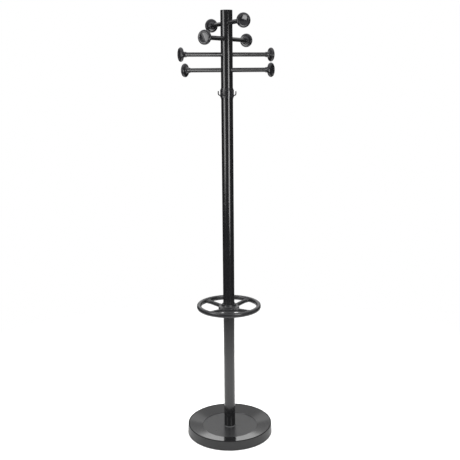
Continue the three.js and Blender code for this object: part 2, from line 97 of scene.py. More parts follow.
FLOOR_SOLID = 0.8         # metres from the post to where the floor starts to fade
FLOOR_RADIUS = 2.0
SURROUND = 0.03           # brightness of the studio low down
CEILING = 0.6
ZENITH = 0.45             # added brightness overhead
CAMERA_FAR = 100

# Upright lights, given as name, first and last angle in degrees, distance, lowest and
# highest point in metres, brightness and lean in degrees.
SOFTBOXES = (
    ("left_softbox", -72, -50, 2.2, 0.75, 2.5, 5.5, 26),
    ("left_fill", -52, -38, 2.2, 0.75, 2.2, 2.2, 26),
    ("right_strip", 22, 43, 2.2, 0.5, 1.84, 8.5, -15),
    ("back_panel", 160, 200, 2.6, 1.4, 2.0, 0.8, 0),
    ("back_card", 146, 214, 0.95, 0.0, 0.24, 1.5, 0),
)
TOP_LIGHT_Z = 3.4
TOP_LIGHT_SIZE = 2.4
TOP_LIGHT_BRIGHTNESS = 9.5


# ------------------------------------------------------------------------ mesh helpers

def corner(radius, height, rounding=0.0):
    """One corner of an outline, in millimetres, with the radius that rounds it."""
    return (Vector((radius, height)), rounding)


def rounded_corner(before, here, after, rounding):
    """Points of the arc that rounds a corner."""
    back = (before - here).normalized()
    ahead = (after - here).normalized()
    half = math.acos(max(-1.0, min(1.0, back.dot(ahead)))) / 2
    reach = min(
        rounding / math.tan(half),
        0.49 * (before - here).length,
        0.49 * (after - here).length,
    )
    radius = reach * math.tan(half)
    centre = here + (back + ahead).normalized() * (radius / math.sin(half))
    start = here + back * reach - centre
    end = here + ahead * reach - centre
    turn = math.atan2(start.x * end.y - start.y * end.x, start.dot(end))
    points = []
    for step in range(CORNER_STEPS + 1):
        angle = turn * step / CORNER_STEPS
        spin = Matrix.Rotation(angle, 2)
        points.append(centre + spin @ start)
    return points


def soft_outline(corners, closed=True):
    """The outline through these corners, each rounded by its own radius."""
    points = []
    count = len(corners)
    for index, (here, rounding) in enumerate(corners):
        at_end = not closed and index in (0, count - 1)
        if rounding <= 0 or at_end:
            points.append(here.copy())
            continue
        before = corners[index - 1][0]
        after = corners[(index + 1) % count][0]
        points.extend(rounded_corner(before, here, after, rounding))
    return points


def with_supports(outline, closed=True):
    """The outline with a point close to each end of every long straight stretch."""
    points = []
    for index, here in enumerate(outline):
        points.append(here)
        if not closed and index == len(outline) - 1:
            break
        after = outline[(index + 1) % len(outline)]
        here, after = Vector(here), Vector(after)
        if (after - here).length > 3 * SUPPORT:
            step = (after - here).normalized() * SUPPORT
            points.append(here + step)
            points.append(after - step)
    return points


def finish_mesh(name, bm, sharp_degrees=SHARP_DEGREES):
    """Turns a bmesh into an object, smooth except at its sharp edges."""
    bmesh.ops.recalc_face_normals(bm, faces=bm.faces)
    limit = math.radians(sharp_degrees)
    for face in bm.faces:
        face.smooth = True
    for edge in bm.edges:
        if len(edge.link_faces) == 2 and edge.calc_face_angle() > limit:
            edge.smooth = False
    mesh = bpy.data.meshes.new(name)
    bm.to_mesh(mesh)
    bm.free()
    piece = bpy.data.objects.new(name, mesh)
    bpy.context.scene.collection.objects.link(piece)
    return piece


def polar(radius, angle, height):
    """The point at this radius, angle and height."""
    return Vector((radius * math.cos(angle), radius * math.sin(angle), height))


def add_bridge(bm, rows, capped=True):
    """Faces from each closed row of vertices to the next, and over both ends."""
    steps = len(rows[0])
    for lower, upper in zip(rows, rows[1:]):
        for step in range(steps):
            after = (step + 1) % steps
            bm.faces.new([lower[step], lower[after], upper[after], upper[step]])
    if capped:
        bm.faces.new(rows[0])
        bm.faces.new(rows[-1])


def add_turned(bm, outline, steps, place=Matrix.Identity(4), closed=True):
    """Adds an outline of (radius, height) points, in millimetres, turned about +Z."""
    rows = []
    for radius, height in outline:
        if radius < 1e-6:
            middle = bm.verts.new(place @ Vector((0, 0, height * MM)))
            rows.append([middle] * steps)
            continue
        row = []
        for step in range(steps):
            local = polar(radius, 2 * math.pi * step / steps, height)
            row.append(bm.verts.new(place @ (local * MM)))
        rows.append(row)
    spans = len(rows) if closed else len(rows) - 1
    for index in range(spans):
        lower = rows[index]
        upper = rows[(index + 1) % len(rows)]
        for step in range(steps):
            after = (step + 1) % steps
            ring = [lower[step], lower[after], upper[after], upper[step]]
            face = list(dict.fromkeys(ring))
            if len(face) > 2:
                bm.faces.new(face)


def turned(name, outline, steps=ROUND_STEPS, place=Matrix.Identity(4), closed=True):
    bm = bmesh.new()
    add_turned(bm, with_supports(outline, closed), steps, place, closed)
    return finish_mesh(name, bm)


def applied(piece):
    """The piece with its modifiers made into plain mesh."""
    bpy.context.view_layer.update()
    graph = bpy.context.evaluated_depsgraph_get()
    mesh = bpy.data.meshes.new_from_object(piece.evaluated_get(graph))
    old = piece.data
    piece.modifiers.clear()
    piece.data = mesh
    bpy.data.meshes.remove(old)
    return piece


def stands_for(piece, material, slot, *nodes):
    """Gives a piece its material and its body, and hides the CAD nodes it replaces. The slot
    is not used.
    """
    piece.data.materials.clear()
    piece.data.materials.append(material)
    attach(piece, "root")
    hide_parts(*nodes)
    return piece


def span(node):
    """Lowest and highest z of a CAD node, in millimetres."""
    low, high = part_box(node)
    return low.z / MM, high.z / MM


# --------------------------------------------------------------------------- materials

class Nodes:
    """A small wrapper that keeps the code of a node tree short."""

    def __init__(self, tree):
        self.tree = tree

    def add(self, kind, **settings):
        node = self.tree.nodes.new(kind)
        for key, value in settings.items():
            setattr(node, key, value)
        return node

    def link(self, source, target):
        self.tree.links.new(source, target)

    def split(self, source):
        node = self.add("ShaderNodeSeparateXYZ")
        self.link(source, node.inputs[0])
        return node.outputs

    def ranged(self, value, low, high, new_low, new_high, **settings):
        node = self.add("ShaderNodeMapRange", **settings)
        self.link(value, node.inputs["Value"])
        node.inputs["From Min"].default_value = low
        node.inputs["From Max"].default_value = high
        node.inputs["To Min"].default_value = new_low
        node.inputs["To Max"].default_value = new_high
        return node.outputs["Result"]

    def math(self, operation, first, second):
        node = self.add("ShaderNodeMath", operation=operation)
        for value, socket in ((first, node.inputs[0]), (second, node.inputs[1])):
            if isinstance(value, (int, float)):
                socket.default_value = value
            else:
                self.link(value, socket)
        return node.outputs[0]


class MaterialNodes(Nodes):
    """The nodes of one new material, laid out in the object's own coordinates."""

    def __init__(self, name):
        self.material = bpy.data.materials.new(name)
        self.material.use_nodes = True
        super().__init__(self.material.node_tree)
        self.shader = self.tree.nodes["Principled BSDF"]
        self.place = self.add("ShaderNodeTexCoord").outputs["Object"]

    def set(self, socket, value):
        self.shader.inputs[socket].default_value = value

    def noise(self, scale, detail=3.0, roughness=0.5, distortion=0.0, source=None):
        node = self.add("ShaderNodeTexNoise")
        node.inputs["Scale"].default_value = scale
        node.inputs["Detail"].default_value = detail
        node.inputs["Roughness"].default_value = roughness
        node.inputs["Distortion"].default_value = distortion
        self.link(source or self.place, node.inputs["Vector"])
        return node.outputs["Fac"]

    def stretched(self, x, y, z):
        """The object's coordinates, scaled along each axis."""
        node = self.add("ShaderNodeMapping")
        node.inputs["Scale"].default_value = (x, y, z)
        self.link(self.place, node.inputs["Vector"])
        return node.outputs["Vector"]

    def mix(self, factor, first, second):
        node = self.add("ShaderNodeMix", data_type="RGBA")
        self.link(factor, node.inputs["Factor"])
        for value, socket in ((first, node.inputs["A"]), (second, node.inputs["B"])):
            if isinstance(value, tuple):
                socket.default_value = (*value, 1.0)
            else:
                self.link(value, socket)
        return node.outputs["Result"]

    def radius(self):
        """Distance from the axis of the post."""
        split = self.split(self.place)
        x, y = split["X"], split["Y"]
        square = self.math("ADD", self.math("MULTIPLY", x, x), self.math("MULTIPLY", y, y))
        return self.math("SQRT", square, 0.0)

    def wear(self):
        """About 1 along convex edges and 0 elsewhere, broken up by noise."""
        edge = self.add("ShaderNodeNewGeometry").outputs["Pointiness"]
        sharp = self.ranged(edge, 0.58, 0.7, 0.0, 1.0)
        return self.math("MULTIPLY", sharp, self.noise(180.0, 4.0, 0.7))

    def bump(self, height, microns, below=None):
        """A normal from a height, whose range from 0 to 1 is this many microns."""
        node = self.add("ShaderNodeBump")
        node.inputs["Strength"].default_value = 1.0
        node.inputs["Distance"].default_value = microns * MICRON
        self.link(height, node.inputs["Height"])
        if below is not None:
            self.link(below, node.inputs["Normal"])
        return node.outputs["Normal"]


def gloss_paint():
    """Black powder coat: faint orange peel, dust and rubbed edges under a smooth gloss."""
    n = MaterialNodes("gloss_paint")
    cloud = n.noise(14.0, 4.0, 0.6)
    dust = n.noise(900.0, 2.0, 0.6)
    worn = n.mix(n.wear(), (0.0095, 0.0095, 0.0102), (0.05, 0.05, 0.052))
    colour = n.mix(n.ranged(dust, 0.66, 0.84, 0.0, 0.15), worn, (0.05, 0.05, 0.052))
    n.link(colour, n.shader.inputs["Base Color"])
    n.link(n.ranged(cloud, 0.3, 0.7, 0.13, 0.19), n.shader.inputs["Roughness"])
    peel = n.bump(n.noise(420.0, 2.0, 0.5), 5)
    n.link(n.bump(dust, 1.5, peel), n.shader.inputs["Normal"])
    n.set("Specular IOR Level", 0.5)
    return n.material


def gloss_plastic():
    """Black moulded plastic with flow marks, fine scratches and a polished skin."""
    n = MaterialNodes("gloss_plastic")
    flow = n.noise(30.0, 5.0, 0.55, 0.6)
    scratch = n.noise(220.0, 6.0, 0.8, 0.0, n.stretched(1.0, 1.0, 9.0))
    base = n.mix(flow, (0.009, 0.009, 0.0105), (0.014, 0.014, 0.016))
    n.link(n.mix(n.wear(), base, (0.04, 0.04, 0.042)), n.shader.inputs["Base Color"])
    rough = n.math("ADD", n.ranged(flow, 0.3, 0.7, 0.1, 0.15),
                   n.ranged(scratch, 0.6, 0.75, 0.0, 0.1))
    n.link(rough, n.shader.inputs["Roughness"])
    n.link(n.bump(scratch, 2), n.shader.inputs["Normal"])
    n.set("Specular IOR Level", 0.5)
    return n.material


def satin_plastic(name, dark, light, rough_low, rough_high, grain):
    """Moulded plastic with a spark-eroded grain and slow changes of shade."""
    n = MaterialNodes(name)
    cloud = n.noise(22.0, 4.0, 0.55)
    fine = n.noise(grain, 3.0, 0.65)
    base = n.mix(cloud, dark, light)
    pale = tuple(min(1.0, 1.9 * value + 0.02) for value in light)
    n.link(n.mix(n.wear(), base, pale), n.shader.inputs["Base Color"])
    rough = n.math("ADD", n.ranged(cloud, 0.3, 0.7, rough_low, rough_high),
                   n.ranged(fine, 0.3, 0.7, -0.03, 0.05))
    n.link(rough, n.shader.inputs["Roughness"])
    n.link(n.bump(fine, 6), n.shader.inputs["Normal"])
    n.set("Specular IOR Level", 0.45)
    return n.material


def tray_plastic():
    """Charcoal tray: a polished slope round a satin floor, with faint water marks."""
    n = MaterialNodes("tray_plastic")
    slope = n.ranged(n.radius(), (TRAY_SLOPE_R - 1) * MM, TRAY_SLOPE_R * MM, 0.0, 1.0)
    marks = n.noise(38.0, 5.0, 0.6, 0.8)
    fine = n.noise(1400.0, 3.0, 0.65)
    floor_rough = n.ranged(marks, 0.3, 0.7, 0.27, 0.34)
    slope_rough = n.ranged(marks, 0.3, 0.7, 0.12, 0.16)
    rough = n.math("ADD", n.math("MULTIPLY", slope, slope_rough),
                   n.math("MULTIPLY", n.math("SUBTRACT", 1.0, slope), floor_rough))
    n.link(rough, n.shader.inputs["Roughness"])
    base = n.mix(marks, (0.012, 0.0122, 0.0128), (0.0165, 0.0167, 0.0174))
    n.link(n.mix(slope, base, (0.009, 0.0091, 0.0096)), n.shader.inputs["Base Color"])
    grain = n.math("MULTIPLY", n.math("SUBTRACT", 1.0, slope), fine)
    n.link(n.bump(grain, 5), n.shader.inputs["Normal"])
    n.set("Specular IOR Level", 0.5)
    return n.material


def cover_plastic():
    """Charcoal cover: a grained satin wall under a flat rim painted near black, painted
    shade for the shadowed gap between the cover and the tray.
    """
    n = MaterialNodes("cover_plastic")
    height = n.split(n.place)["Z"]
    # Mask of the top of the cover, where the painted shade of the gap next to the tray goes.
    rim = n.ranged(height, (RIM_TOP_Z - 3) * MM, (RIM_TOP_Z - 2) * MM, 0.0, 1.0)
    wall = n.math("SUBTRACT", 1.0, rim)
    cloud = n.noise(22.0, 4.0, 0.55)
    fine = n.noise(1200.0, 3.0, 0.65)
    base = n.mix(cloud, (0.009, 0.0091, 0.0096), (0.0125, 0.0127, 0.0132))
    # Painted shade: the rim's colour is taken near black, and below its specular is turned
    # down, standing in for the shadow in the gap next to the tray.
    skin = n.mix(rim, base, (0.003, 0.003, 0.0032))
    n.link(n.mix(n.wear(), skin, (0.05, 0.05, 0.052)), n.shader.inputs["Base Color"])
    wall_rough = n.ranged(cloud, 0.3, 0.7, 0.42, 0.54)
    rough = n.math("ADD", n.math("MULTIPLY", wall, wall_rough),
                   n.math("MULTIPLY", rim, 0.5))
    n.link(rough, n.shader.inputs["Roughness"])
    n.link(n.bump(n.math("MULTIPLY", wall, fine), 6), n.shader.inputs["Normal"])
    n.link(n.ranged(rim, 0.0, 1.0, 0.35, 0.08), n.shader.inputs["Specular IOR Level"])
    return n.material


def zinc_steel():
    """Zinc plate: pale spangle, turning marks and a dull bloom."""
    n = MaterialNodes("zinc_steel")
    spangle = n.noise(260.0, 4.0, 0.6)
    turning = n.noise(60.0, 5.0, 0.7, 0.0, n.stretched(1.0, 1.0, 40.0))
    n.link(n.mix(spangle, (0.42, 0.43, 0.45), (0.62, 0.63, 0.64)),
           n.shader.inputs["Base Color"])
    n.link(n.ranged(turning, 0.3, 0.7, 0.24, 0.42), n.shader.inputs["Roughness"])
    n.link(n.bump(turning, 4), n.shader.inputs["Normal"])
    n.set("Metallic", 1.0)
    return n.material


def cast_iron():
    """Raw grey casting: sandy skin, pits and brown bloom."""
    n = MaterialNodes("cast_iron")
    sand = n.noise(600.0, 5.0, 0.7)
    bloom = n.noise(25.0, 5.0, 0.65)
    base = n.mix(sand, (0.05, 0.05, 0.052), (0.1, 0.098, 0.095))
    rust = n.ranged(bloom, 0.5, 0.75, 0.0, 0.6)
    n.link(n.mix(rust, base, (0.13, 0.065, 0.035)), n.shader.inputs["Base Color"])
    n.link(n.ranged(sand, 0.3, 0.7, 0.6, 0.9), n.shader.inputs["Roughness"])
    n.link(n.bump(sand, 120), n.shader.inputs["Normal"])
    n.set("Metallic", 0.4)
    return n.material


def rubber():
    """Matt rubber with a dusty skin."""
    n = MaterialNodes("rubber")
    dust = n.noise(120.0, 5.0, 0.7)
    fine = n.noise(1800.0, 3.0, 0.6)
    n.link(n.mix(dust, (0.012, 0.012, 0.012), (0.028, 0.027, 0.026)),
           n.shader.inputs["Base Color"])
    n.link(n.ranged(dust, 0.3, 0.7, 0.7, 0.92), n.shader.inputs["Roughness"])
    n.link(n.bump(fine, 12), n.shader.inputs["Normal"])
    return n.material


def floor_paint():
    """Matt white paint, clear beyond FLOOR_SOLID so that no edge of the floor shows."""
    n = MaterialNodes("floor_paint")
    cloud = n.noise(3.0, 3.0, 0.5)
    n.link(n.mix(cloud, (0.86, 0.86, 0.86), (0.88, 0.88, 0.88)),
           n.shader.inputs["Base Color"])
    n.link(n.ranged(n.radius(), FLOOR_SOLID, FLOOR_RADIUS, 1.0, 0.0),
           n.shader.inputs["Alpha"])
    n.set("Roughness", 0.9)
    n.set("Specular IOR Level", 0.1)
    return n.material


# -------------------------------------------------------------------------------- post

def tube_outline(low, high):
    return soft_outline([
        corner(TUBE_INNER_R, low),
        corner(POST_R, low, TUBE_ROUND),
        corner(POST_R, high, TUBE_ROUND),
        corner(TUBE_INNER_R, high),
    ])


def make_tube(node, material):
    tube = turned(node + "_fine", tube_outline(*span(node)))
    return stands_for(tube, material, "post_paint", node)


def rod_place(index):
    """Where a rod lies: its middle on the post's axis, its length along the result's Z."""
    low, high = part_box(f"peg_rod_{index}")
    angle = -index * math.pi / 4
    turn = Matrix.Rotation(angle, 4, "Z") @ Matrix.Rotation(math.pi / 2, 4, "Y")
    return Matrix.Translation((0, 0, (low.z + high.z) / 2)) @ turn


def end_place(index, letter):
    """As rod_place, with the rod end of this letter, a or b, towards the result's +Z."""
    turn = Matrix.Rotation(math.pi, 4, "X") if letter == "b" else Matrix.Identity(4)
    return rod_place(index) @ turn


def radial_normals(piece, radius):
    """Keeps the round outside of a cut tube smooth: its normals point straight out."""
    level = 0.01              # how far from upright a side face may lean
    near = 0.97               # how close to the radius it must lie
    outward = 0.9             # how squarely it must face out
    mesh = piece.data
    corner_normals = [Vector(n.vector) for n in mesh.corner_normals]
    for polygon in mesh.polygons:
        flat = Vector((polygon.center.x, polygon.center.y, 0))
        if abs(polygon.normal.z) > level or flat.length < near * radius:
            continue
        if polygon.normal.dot(flat.normalized()) < outward:
            continue
        for loop in polygon.loop_indices:
            place = mesh.vertices[mesh.loops[loop].vertex_index].co
            corner_normals[loop] = Vector((place.x, place.y, 0)).normalized()
    mesh.normals_split_custom_set([tuple(n) for n in corner_normals])


def make_head_tube(material):
    """The head tube, with a clear hole for each peg rod to pass through."""
    tube = turned("head_tube_fine", tube_outline(*span("head_tube")))
    bm = bmesh.new()
    reach = 40                # past both sides of the tube
    hole_r = ROD_R + GAP
    outline = [(0, -reach), (hole_r, -reach), (hole_r, reach), (0, reach)]
    for index in range(1, 5):
        add_turned(bm, outline, ROD_STEPS, rod_place(index), closed=False)
    cutter = finish_mesh("rod_holes", bm)
    cut = tube.modifiers.new("holes", "BOOLEAN")
    cut.operation = "DIFFERENCE"
    cut.solver = "EXACT"
    cut.object = cutter
    applied(tube)
    bpy.data.objects.remove(cutter)
    radial_normals(tube, POST_R * MM)
    return stands_for(tube, material, "post_paint", "head_tube")


def make_cap(material):
    low, high = span("post_cap")
    thickness = 3
    under = high - thickness
    spigot = TUBE_INNER_R - GAP
    spigot_inner = spigot - thickness
    outline = soft_outline([
        corner(0, under),
        corner(spigot_inner, under, 0.5),
        corner(spigot_inner, low, 0.5),
        corner(spigot, low, 0.8),
        corner(spigot, under, 0.2),
        corner(POST_R, under, 0.3),
        corner(POST_R, high, 1.2),
        corner(0, high),
    ], closed=False)
    cap = turned("post_cap_fine", outline, closed=False)
    return stands_for(cap, material, "knob_plastic", "post_cap")


def make_insert(node, material):
    """Moulded insert: threaded core and outer ring joined by a web half-way up."""
    low, high = span(node)
    outer = TUBE_INNER_R - GAP
    ring_inner = outer - 3
    core = 10.5
    web = 3                   # half of the web's thickness
    middle = (low + high) / 2
    outline = soft_outline([
        corner(STUD_BORE_R, low, 0.6),
        corner(core, low, 0.6),
        corner(core, middle - web, 1.5),
        corner(ring_inner, middle - web, 1.5),
        corner(ring_inner, low, 0.6),
        corner(outer, low, 1.0),
        corner(outer, high, 1.0),
        corner(ring_inner, high, 0.6),
        corner(ring_inner, middle + web, 1.5),
        corner(core, middle + web, 1.5),
        corner(core, high, 0.6),
        corner(STUD_BORE_R, high, 0.6),
    ])
    insert = turned(node + "_fine", outline, INSERT_STEPS)
    return stands_for(insert, material, "insert_nylon", node)


# ------------------------------------------------------------------------------ threads

def add_thread(bm, radius, low, high, place):
    """A threaded rod: the radius rises and falls with height less angle, with plain
    chamfered ends."""
    steps = 24
    rows = []
    row_height = THREAD_PITCH / 4
    count = max(8, round((high - low) / row_height))
    for row_index in range(count + 1):
        height = low + (high - low) * row_index / count
        chamfer = min(height - low, high - height, THREAD_DEPTH)
        row = []
        for step in range(steps):
            turn = step / steps
            phase = (height / THREAD_PITCH - turn) % 1.0
            groove = THREAD_DEPTH * abs(2 * phase - 1)
            local = min(radius - groove, radius - THREAD_DEPTH + chamfer)
            spot = polar(local, 2 * math.pi * turn, height)
            row.append(bm.verts.new(place @ (spot * MM)))
        rows.append(row)
    add_bridge(bm, rows)


def make_joint_stud(node, material):
    bm = bmesh.new()
    add_thread(bm, STUD_R, *span(node), Matrix.Identity(4))
    stud = finish_mesh(node + "_fine", bm, 60)
    return stands_for(stud, material, "zinc_steel", node)


def make_knob_stud(index, letter, material):
    node = f"knob_stud_{index}{letter}"
    bm = bmesh.new()
    add_thread(bm, KNOB_STUD_R, KNOB_STUD_START, KNOB_STUD_END, end_place(index, letter))
    stud = finish_mesh(node + "_fine", bm, 60)
    return stands_for(stud, material, "zinc_steel", node)


def make_base_bolt(material):
    """Hexagon-headed bolt with a washer face and a chamfered head."""
    low, high = span("base_bolt")
    head = 6.2
    head_r = 9.8
    chamfer = 0.7
    clearance = 0.05
    bm = bmesh.new()
    rings = []
    for height, scale in ((0, 0.9), (chamfer, 1.0), (head - chamfer, 1.0), (head, 0.93)):
        ring = []
        for step in range(6):
            angle = math.pi / 2 + step * math.pi / 3
            spot = polar(head_r * scale, angle, low + height)
            ring.append(bm.verts.new(spot * MM))
        rings.append(ring)
    add_bridge(bm, rings)
    bmesh.ops.bevel(
        bm, geom=list(bm.edges), offset=0.3 * MM, segments=2, affect="EDGES",
    )
    add_thread(bm, STUD_R, low + head + clearance, high, Matrix.Identity(4))
    bolt = finish_mesh("base_bolt_fine", bm, 50)
    return stands_for(bolt, material, "zinc_steel", "base_bolt")


def make_washer(material):
    low, high = span("base_washer")
    outer = 12
    outline = soft_outline([
        corner(STUD_BORE_R, low, 0.2),
        corner(outer, low, 0.5),
        corner(outer, high, 0.3),
        corner(STUD_BORE_R, high, 0.2),
    ])
    washer = turned("base_washer_fine", outline, INSERT_STEPS)
    return stands_for(washer, material, "zinc_steel", "base_washer")


# -------------------------------------------------------------------------------- pegs

def make_rod(index, material):
    outline = soft_outline([
        corner(ROD_BORE_R, -ROD_HALF, 0.3),
        corner(ROD_R, -ROD_HALF, 0.6),
        corner(ROD_R, ROD_HALF, 0.6),
        corner(ROD_BORE_R, ROD_HALF, 0.3),
    ])
    piece = turned(f"peg_rod_{index}_fine", outline, ROD_STEPS, rod_place(index))
    return stands_for(piece, material, "post_paint", f"peg_rod_{index}")


def bezier(start, first, second, end, steps):
    """Points of a cubic curve, its first point left out."""
    points = []
    for step in range(1, steps + 1):
        t = step / steps
        s = 1 - t
        points.append(s ** 3 * start + 3 * s * s * t * first
                      + 3 * s * t * t * second + t ** 3 * end)
    return points


def arc(centre, radius, start_degrees, end_degrees, steps):
    points = []
    for step in range(steps + 1):
        degrees = start_degrees + (end_degrees - start_degrees) * step / steps
        angle = math.radians(degrees)
        points.append(centre + Vector((math.cos(angle), math.sin(angle))) * radius)
    return points


def knob_outline():
    """A neck that flares into a fat disc with a round rim and a dished front."""
    rim_centre = Vector((KNOB_R - KNOB_EDGE_R, KNOB_MAX))
    rim = arc(rim_centre, KNOB_EDGE_R, -62, 84, 20)
    back = Vector((rim_centre.x - 1, KNOB_MAX - KNOB_EDGE_R))
    neck = [Vector((KNOB_NECK_R - 0.6, KNOB_START)), Vector((KNOB_NECK_R, KNOB_START + 0.6))]
    flare = bezier(
        Vector((KNOB_NECK_R, KNOB_START + 4)),
        Vector((KNOB_NECK_R, KNOB_START + 13)),
        Vector((KNOB_NECK_R + 3, KNOB_MAX - KNOB_EDGE_R)),
        back,
        14,
    )
    lip = Vector((KNOB_DISH_R, KNOB_FRONT - 0.1))
    bowl_r = KNOB_DISH_R - 1.5
    bottom = KNOB_FRONT - KNOB_DISH_DEPTH
    bowl_edge = Vector((bowl_r, KNOB_FRONT - 1.3))
    wall = bezier(
        lip,
        Vector((KNOB_DISH_R - 0.7, KNOB_FRONT - 0.1)),
        Vector((bowl_r + 0.5, KNOB_FRONT - 1.1)),
        bowl_edge,
        8,
    )
    bowl = bezier(
        bowl_edge,
        Vector((2 * bowl_r / 3, bottom + (bowl_edge.y - bottom) / 3)),
        Vector((bowl_r / 3, bottom)),
        Vector((0, bottom)),
        14,
    )
    stud_hole_end = KNOB_STUD_END + GAP
    rod_socket_end = ROD_HALF + GAP
    socket = [
        Vector((0, stud_hole_end)),
        Vector((ROD_BORE_R, stud_hole_end)),
        Vector((ROD_BORE_R, rod_socket_end)),
        Vector((ROD_R + GAP, rod_socket_end)),
        Vector((ROD_R + GAP, KNOB_START + 0.4)),
        Vector((ROD_R + GAP + 0.4, KNOB_START)),
    ]
    return socket + neck + flare + rim + [lip] + wall + bowl


def make_knob(index, letter, material):
    node = f"knob_{index}{letter}"
    place = end_place(index, letter)
    knob = turned(node + "_fine", knob_outline(), ROUND_STEPS, place, closed=False)
    return stands_for(knob, material, "knob_plastic", node)


# ------------------------------------------------------------------- collar and hooks

def make_collar(material):
    low, high = span("hook_collar")
    middle = (low + high) / 2
    socket = POST_R + GAP
    lip = socket + 0.8
    band_r = 27
    band = 11                 # half of the height of the proud band
    web = 11                  # half of the web's thickness
    outline = soft_outline([
        corner(socket, low, 0.2),
        corner(lip, low, 0.4),
        corner(band_r, middle - band, 4),
        corner(band_r, middle + band, 4),
        corner(lip, high, 0.4),
        corner(socket, high, 0.2),
        corner(socket, middle + web),
        corner(STUD_BORE_R, middle + web, 0.5),
        corner(STUD_BORE_R, middle - web, 0.5),
        corner(socket, middle - web),
    ])
    collar = turned("hook_collar_fine", outline)
    return stands_for(collar, material, "collar_plastic", "hook_collar")


def add_swept(bm, path, radius, steps=20):
    """A round bar with flat ends, along a path in the XZ plane, in millimetres."""
    rows = []
    for index, here in enumerate(path):
        before = path[max(index - 1, 0)]
        after = path[min(index + 1, len(path) - 1)]
        ahead = (after - before).normalized()
        across = Vector((ahead.z, 0, -ahead.x))
        row = []
        for step in range(steps):
            angle = 2 * math.pi * step / steps
            out = across * math.cos(angle) + Vector((0, 1, 0)) * math.sin(angle)
            row.append(bm.verts.new((here + out * radius) * MM))
        rows.append(row)
    add_bridge(bm, rows)


def hook_path():
    """Out from the plate, round the bend and up to the tip, in the hook's own XZ plane."""
    start, near, out = 27.5, 30, 41
    arm, near_tip, tip = -8, 5, 7.6
    bend = 8
    bend_centre = Vector((out - bend, arm + bend))
    flat = [Vector((start, arm)), Vector((near, arm))]
    flat += arc(bend_centre, bend, -90, 0, 12)
    flat += [Vector((out, near_tip)), Vector((out, tip))]
    return [Vector((point.x, 0, point.y)) for point in flat]


def add_curved_plate(bm):
    """The hook's back plate, which follows the round outside of the collar."""
    inner = 27.3
    outer = 29.3
    half_height = 16.5
    half_width = 8.5
    half_angle = math.asin(half_width / inner)
    columns = 16
    rings = []
    for step in range(columns + 1):
        angle = -half_angle + 2 * half_angle * step / columns
        ring = []
        for radius, height in ((inner, -half_height), (outer, -half_height),
                               (outer, half_height), (inner, half_height)):
            ring.append(bm.verts.new(polar(radius, angle, height) * MM))
        rings.append(ring)
    add_bridge(bm, rings)


def add_ball(bm, centre, radius):
    place = Matrix.Translation(centre * MM)
    bmesh.ops.create_uvsphere(
        bm, u_segments=24, v_segments=16, radius=radius * MM, matrix=place,
    )


def hook_mesh():
    """One hook, its parts fused and smoothed so that they blend as a moulding does."""
    bm = bmesh.new()
    add_curved_plate(bm)
    path = hook_path()
    wire_r = 2.5
    add_swept(bm, path, wire_r)
    add_ball(bm, path[-1], wire_r)
    start, end = 17, 28.5
    peg = [(0, start), (wire_r - 0.2, start), (wire_r, start + 0.4), (wire_r, end), (0, end)]
    add_turned(bm, peg, 24, Matrix.Rotation(math.pi / 2, 4, "Y"), closed=False)
    hook = finish_mesh("hook_master", bm)
    fuse = hook.modifiers.new("fuse", "REMESH")
    fuse.mode = "VOXEL"
    fuse.voxel_size = 0.45 * MM
    fuse.use_smooth_shade = True
    ease = hook.modifiers.new("ease", "SMOOTH")
    ease.factor = 0.5
    ease.iterations = 5
    applied(hook)
    mesh = hook.data
    bpy.data.objects.remove(hook)
    return mesh


def make_hooks(material):
    mesh = hook_mesh()
    low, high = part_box("hook_collar")
    for index in range(4):
        name = f"small_hook_{index + 1}"
        own = mesh.copy()
        own.transform(Matrix.Translation((0, 0, (low.z + high.z) / 2))
                      @ Matrix.Rotation(index * math.pi / 2, 4, "Z"))
        hook = bpy.data.objects.new(name + "_fine", own)
        bpy.context.scene.collection.objects.link(hook)
        stands_for(hook, material, "hook_plastic", name)


# ----------------------------------------------------------------------- umbrella ring

RING_Z = 602
RING_R = 142
RIM_WIDTH = 18
RIM_HALF_HEIGHT = 10.5
HUB_R = 46.5
HUB_BOSS_R = 30.5
HUB_BOTTOM = RING_Z - 18.5
HUB_SHELF = RING_Z + 1    # top of the hub's flange
HUB_TOP = RING_Z + 12.5
HUB_WEB = 4               # half of the thickness of the web between the tube ends
SPOKE_WIDTH = 15.3        # a little over, because subdivision draws the spokes in
SPOKE_HEIGHT = 17.4
SPOKE_HUB_Z = RING_Z - 9.25
SPOKE_RISE = 0.084        # how much a spoke rises for each millimetre outwards
SPOKE_ANGLE = math.radians(-15.7)
SPOKE_COUNT = 4
RIM_COUNT = 48            # steps round the rim's cage
HUB_COUNT = 24            # steps round the hub's cage
HUB_CREASES = range(5, 11)    # rows of the hub's section that stay sharp


def spoke_middle(distance):
    return SPOKE_HUB_Z + SPOKE_RISE * (distance - HUB_R)


def rim_section():
    """Cage of the rim's section, from the upper middle of its inside, down and round."""
    inner, outer = RING_R - RIM_WIDTH, RING_R
    low, high = RING_Z - RIM_HALF_HEIGHT, RING_Z + RIM_HALF_HEIGHT
    middle = spoke_middle(inner)
    return [
        (inner, middle + 7.5), (inner, middle), (inner + 0.4, middle - 6),
        (inner + 2.4, low + 0.8), (inner + 6, low), (outer - 6, low),
        (outer - 1.6, low + 1.6), (outer, low + 6), (outer, RING_Z), (outer, high - 6),
        (outer - 1.6, high - 1.6), (outer - 6, high), (inner + 6, high),
        (inner + 1.6, high - 1.6),
    ]


